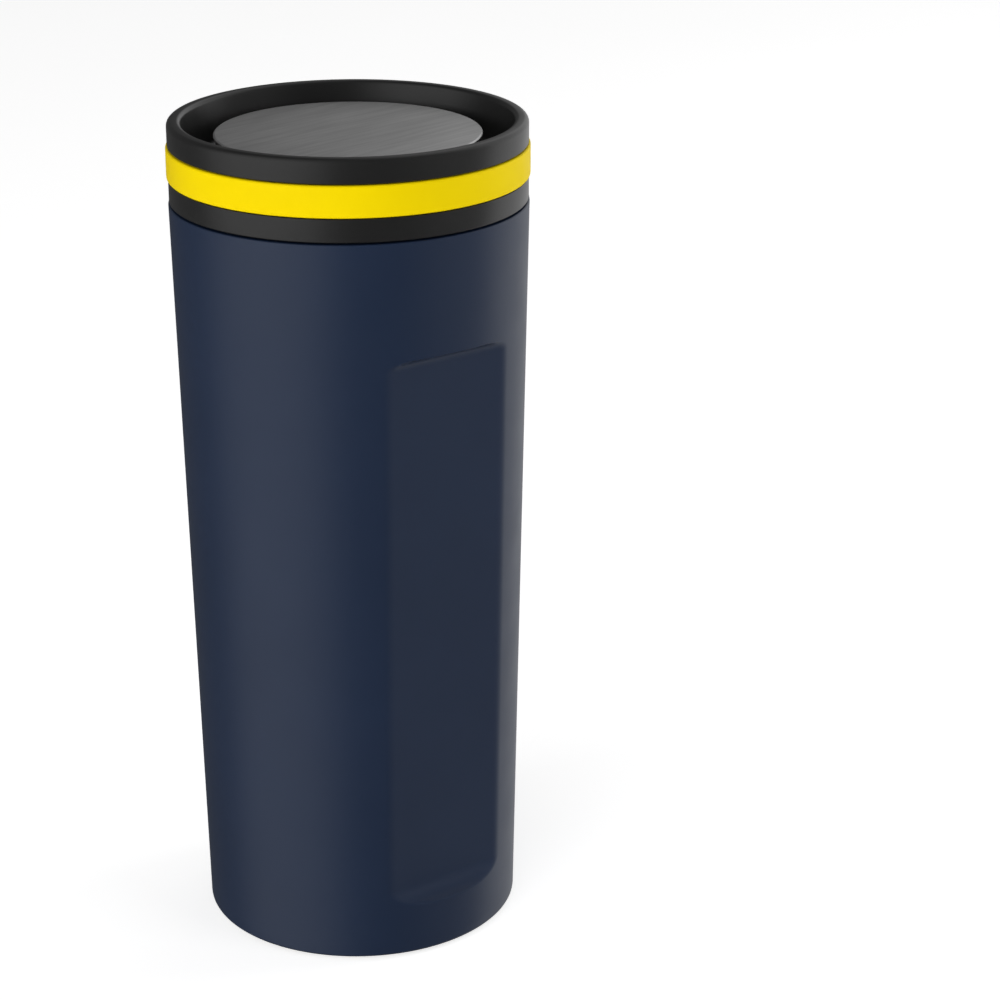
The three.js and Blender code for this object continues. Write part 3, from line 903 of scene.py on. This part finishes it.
def cage():
    """Barrel of the mechanism, held in the lid by a ring and three spokes."""
    bottom, top = low_of("guide_cage"), high_of("guide_cage")
    pocket = radius_of("shaft_seal") + SNUG_GAP
    pocket_floor = low_of("shaft_seal") - SNUG_GAP
    ceiling = top - 3.2 * MM
    ring_top = top - 1.23 * MM
    spoke = 4 * MM
    outline = [
        (BARREL_BORE, bottom, 0.2 * MM),
        (BARREL, bottom, 0.3 * MM),
        (BARREL, top, 0.9 * MM),
        (pocket, top, 0.2 * MM),
        (pocket, pocket_floor, 0.1 * MM),
        (SHAFT_BORE, pocket_floor, 0.1 * MM),
        (SHAFT_BORE, ceiling, 0.2 * MM),
        (BARREL_BORE, ceiling, 0.4 * MM),
    ]
    barrel = bmesh.new()
    spun(barrel, rounded(outline), 120)
    ring_outer = radius_of("guide_cage")
    ring_inner = ring_outer - 2.4 * MM
    outline = ring_outline(ring_inner, ring_outer, ring_top - spoke, ring_top, 0.4 * MM)
    ring = bmesh.new()
    spun(ring, rounded(outline), 160)
    spokes = bmesh.new()
    root = 1 * MM  # how far a spoke runs into the barrel and the ring
    start, end = BARREL - root, ring_inner + root
    for i in range(SPOKES):
        made = bmesh.ops.create_cube(spokes, size=1)
        place = Matrix.Rotation(math.tau * i / SPOKES, 4, "Z") @ Matrix.Translation(
            ((start + end) / 2, 0, ring_top - spoke / 2)
        )
        size = Matrix.Diagonal((end - start, spoke, spoke, 1))
        bmesh.ops.transform(spokes, matrix=place @ size, verts=made["verts"])
    bmesh.ops.bevel(
        spokes,
        geom=list(spokes.edges),
        offset=0.5 * MM,
        affect="EDGES",
        segments=3,
        profile=0.5,
        material=-1,
    )
    peg_height = (low_of("cam_ring") + high_of("cam_ring")) / 2
    whole = joined(barrel, slots(peg_height), "DIFFERENCE")
    whole = joined(whole, ring, "UNION")
    whole = joined(whole, spokes, "UNION")
    finished("cage", whole, GREY, "lid", "guide_cage")


def cap():
    """Cap on the barrel's lower end, with a drain hole."""
    low, high = low_of("spring_cap"), high_of("spring_cap")
    outer = radius_of("spring_cap")
    skirt = BARREL + SNUG_GAP
    drain = 1.5 * MM
    floor_top = low + 2 * MM
    turned(
        "cap",
        [
            (drain, low, 0.4 * MM),
            (outer, low, 1.1 * MM),
            (outer, high, 0.4 * MM),
            (skirt, high, 0.3 * MM),
            (skirt, floor_top, 0.2 * MM),
            (drain, floor_top, 0.3 * MM),
        ],
        GREY,
        "lid",
        "spring_cap",
    )


def spring():
    """Wound wire of the return spring, given a mesh of its own."""
    wire = 0.5 * MM  # radius
    turns = 5
    length = 14 * MM
    foot_height = low_of("guide_cage") + wire
    middle = radius_of("return_spring") - wire
    section = rounded(circle_outline(middle, foot_height, wire, 12))
    lead = (length - 2 * wire) / turns
    mesh = bmesh.new()
    coiled(mesh, section, 0, math.tau * turns, lead, 40 * turns)
    made = finished("spring", mesh, WIRE, "lid", "return_spring", crease=50)
    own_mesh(made)


def plunger():
    """Shaft with a flange that presses on the cam ring."""
    low, high = low_of("plunger_shaft"), high_of("plunger_shaft")
    flange = radius_of("plunger_shaft")
    flange_low = high_of("cam_ring") + SNUG_GAP
    flange_high = flange_low + 1.4 * MM
    hole = 1.8 * MM
    hole_floor = low_of("carrier_screw") - SNUG_GAP
    turned(
        "plunger",
        [
            (0, low, 0),
            (SHAFT_RADIUS, low, 0.5 * MM),
            (SHAFT_RADIUS, flange_low, 0.2 * MM),
            (flange, flange_low, 0.3 * MM),
            (flange, flange_high, 0.3 * MM),
            (SHAFT_RADIUS, flange_high, 0.3 * MM),
            (SHAFT_RADIUS, high, 0.3 * MM),
            (hole, high, 0.1 * MM),
            (hole, hole_floor, 0.1 * MM),
            (0, hole_floor, 0),
        ],
        GREY,
        "button",
        "plunger_shaft",
        steps=96,
    )


def screw():
    """Cheese-head screw with a hexagon socket."""
    low, high = low_of("carrier_screw"), high_of("carrier_screw")
    head = radius_of("carrier_screw")
    shank = 1.6 * MM
    seat = high - 2 * MM
    tip, tip_height = shank - 0.5 * MM, low + 0.8 * MM
    socket_radius, socket_length = 1.1 * MM, 2.8 * MM  # half of its length is above the head
    mesh = bmesh.new()
    outline = [
        (0, low, 0),
        (tip, low, 0.1 * MM),
        (shank, tip_height, 0.2 * MM),
        (shank, seat, 0.1 * MM),
        (head, seat, 0.1 * MM),
        (head, high, 0.5 * MM),
        (0, high, 0),
    ]
    spun(mesh, rounded(outline), 96, closed=False)
    socket = bmesh.new()
    bmesh.ops.create_cone(
        socket,
        cap_ends=True,
        segments=6,
        radius1=socket_radius,
        radius2=socket_radius,
        depth=socket_length,
    )
    bmesh.ops.translate(socket, vec=UP * high, verts=socket.verts)
    whole = joined(mesh, socket, "DIFFERENCE")
    finished("screw", whole, WIRE, "button", "carrier_screw")


# ---- Studio ----
VIEW_LENS = 100.13
VIEW_PLACE = (35.32 * MM, -635.77 * MM, 345.02 * MM)  # from the middle of the shell's lower end
VIEW_TILT = 20.668  # degrees below level
ROOM_GLOW = 0.1
FLOOR_LIFT = 0.62
# Upright bright panels of the room: azimuth from the camera to its right, half of the full
# width and of the faded width in degrees, and glow.
PANELS = [(-53, 6, 54, 0.56), (140, 26, 46, 0.6), (85, 5, 50, 0.14)]
GRIP_TURN = math.radians(37.5)  # the front grip flat is turned this far from the view
# Soft lights: azimuth as for the panels, and power in watts.
SOFTBOXES = {"key": (-50, 11), "front": (-15, 10), "fill": (62, 7), "side": (110, 10)}
SOFTBOX_LIFT = 8  # degrees above level
SOFTBOX_DISTANCE = 1.5
SOFTBOX_AIM = Vector((0, 0, 0.1))


def camera():
    data = bpy.data.cameras.new("camera")
    data.sensor_width = 36
    data.lens = VIEW_LENS
    data.clip_end = 20
    made = bpy.data.objects.new("camera", data)
    scene.collection.objects.link(made)
    x, y, z = VIEW_PLACE
    made.location = Matrix.Rotation(-GRIP_TURN, 3, "Z") @ Vector((x, y, z + SHELL_BOTTOM))
    made.rotation_euler = (math.radians(90 - VIEW_TILT), 0, -GRIP_TURN)
    scene.camera = made


def floor():
    """Pale floor, lifted to white in view only, so that it doesn't light the tumbler."""
    mesh = bmesh.new()
    bmesh.ops.create_grid(mesh, x_segments=2, y_segments=2, size=6)
    data = bpy.data.meshes.new("floor")
    mesh.to_mesh(data)
    mesh.free()
    made = bpy.data.objects.new("floor", data)
    scene.collection.objects.link(made)
    paint = Paint("studio_floor", (0.9, 0.9, 0.9), 0.7)
    paint.tint(paint.noise(3, 2), (0.89, 0.89, 0.89), (0.91, 0.91, 0.91))
    seen = paint.nodes.new("ShaderNodeLightPath").outputs["Is Camera Ray"]
    paint.set(Emission_Color=(1, 1, 1, 1))
    lift = paint.ranged(seen, 0, FLOOR_LIFT, 0, 1)
    paint.links.new(lift, paint.shader.inputs["Emission Strength"])
    data.materials.append(paint.material)
    made.visible_glossy = False


def room_direction(azimuth, elevation=0.0):
    """Unit vector towards a place in the room. Azimuth is counted from the camera, to its right."""
    turn = math.radians(azimuth) - GRIP_TURN
    lift = math.radians(elevation)
    level = math.cos(lift)
    return Vector((math.sin(turn) * level, -math.cos(turn) * level, math.sin(lift)))


def softbox(name, azimuth, power):
    """A soft light aimed at the tumbler. The room's panels make the reflections instead."""
    data = bpy.data.lights.new(name, "AREA")
    data.shape = "RECTANGLE"
    data.size, data.size_y = 0.8, 0.9
    data.energy = power
    made = bpy.data.objects.new(name, data)
    scene.collection.objects.link(made)
    way = room_direction(azimuth, SOFTBOX_LIFT)
    made.location = SOFTBOX_AIM + way * SOFTBOX_DISTANCE
    made.rotation_euler = (-way).to_track_quat("-Z", "Y").to_euler()
    made.visible_glossy = False


def room():
    """A dim white room with bright upright panels, and plain white where the camera looks."""
    world = bpy.data.worlds.new("room")
    world.use_nodes = True
    nodes, links = world.node_tree.nodes, world.node_tree.links

    def math_node(kind, *values):
        node = nodes.new("ShaderNodeVectorMath")
        node.operation = kind
        for socket, value in zip(node.inputs, values):
            if isinstance(value, bpy.types.NodeSocket):
                links.new(value, socket)
            else:
                socket.default_value = value
        return node

    direction = nodes.new("ShaderNodeTexCoord").outputs["Generated"]
    flat = math_node("MULTIPLY", direction, (1, 1, 0)).outputs["Vector"]
    level = math_node("NORMALIZE", flat).outputs["Vector"]
    upright = math_node("LENGTH", flat).outputs["Value"]  # 0 straight above and below
    glow = None
    for azimuth, full, faded, strength in PANELS:
        facing = math_node("DOT_PRODUCT", level, room_direction(azimuth)).outputs["Value"]
        fade = nodes.new("ShaderNodeMapRange")
        fade.interpolation_type = "SMOOTHSTEP"
        links.new(facing, fade.inputs["Value"])
        fade.inputs["From Min"].default_value = math.cos(math.radians(faded))
        fade.inputs["From Max"].default_value = math.cos(math.radians(full))
        fade.inputs["To Max"].default_value = strength
        total = nodes.new("ShaderNodeMath")
        total.operation = "MULTIPLY_ADD"
        links.new(fade.outputs["Result"], total.inputs[0])
        links.new(upright, total.inputs[1])
        total.inputs[2].default_value = ROOM_GLOW
        if glow:
            links.new(glow, total.inputs[2])
        glow = total.outputs["Value"]
    lit = nodes["Background"]
    lit.inputs["Color"].default_value = (1, 1, 1, 1)
    links.new(glow, lit.inputs["Strength"])
    backdrop = nodes.new("ShaderNodeBackground")
    backdrop.inputs["Color"].default_value = (1, 1, 1, 1)
    mix = nodes.new("ShaderNodeMixShader")
    links.new(nodes.new("ShaderNodeLightPath").outputs["Is Camera Ray"], mix.inputs["Fac"])
    links.new(lit.outputs["Background"], mix.inputs[1])
    links.new(backdrop.outputs["Background"], mix.inputs[2])
    links.new(mix.outputs["Shader"], nodes["World Output"].inputs["Surface"])
    scene.world = world


def studio():
    camera()
    floor()
    room()
    scene.view_settings.view_transform = "Standard"
    for name, (azimuth, power) in SOFTBOXES.items():
        softbox(name, azimuth, power)


shell()
foot()
base_medallion()
vessel()
collar()
lid()
grip_band()
gasket()
plate()
carrier()
lip_seal()
small_rings()
base_closure()
cam()
cage()
cap()
spring()
plunger()
screw()
studio()
